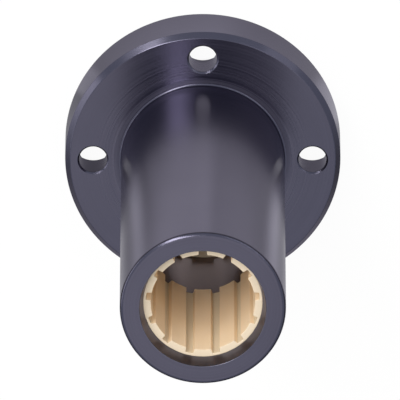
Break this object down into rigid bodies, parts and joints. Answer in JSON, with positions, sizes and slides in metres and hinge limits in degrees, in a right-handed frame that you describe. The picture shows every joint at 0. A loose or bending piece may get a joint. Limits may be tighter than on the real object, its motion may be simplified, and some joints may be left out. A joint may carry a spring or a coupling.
{
  "type": "flanged linear plain bearing",
  "caption": "Long tubular linear plain bearing with a round screw-on flange, a turned hard-anodised housing and fluted polymer liners for a 20 mm shaft.",
  "frame": {"origin": "centre of the flange's outer face, on the bore axis", "axes": "+Z along the bore axis from the flange to the open end of the barrel, +X and +Y each through a screw hole, +Y also through the liners' slits"},
  "size_m": [0.054, 0.054, 0.08],
  "materials": {
    "housing_aluminium": "turned and hard-anodised, dark grey, satin",
    "liner_polymer": "moulded, cream, dry-running"
  },
  "bodies": {
    "root": {"housing": "housing_aluminium", "front_liner": "liner_polymer", "rear_liner": "liner_polymer"}
  },
  "joints": []
}
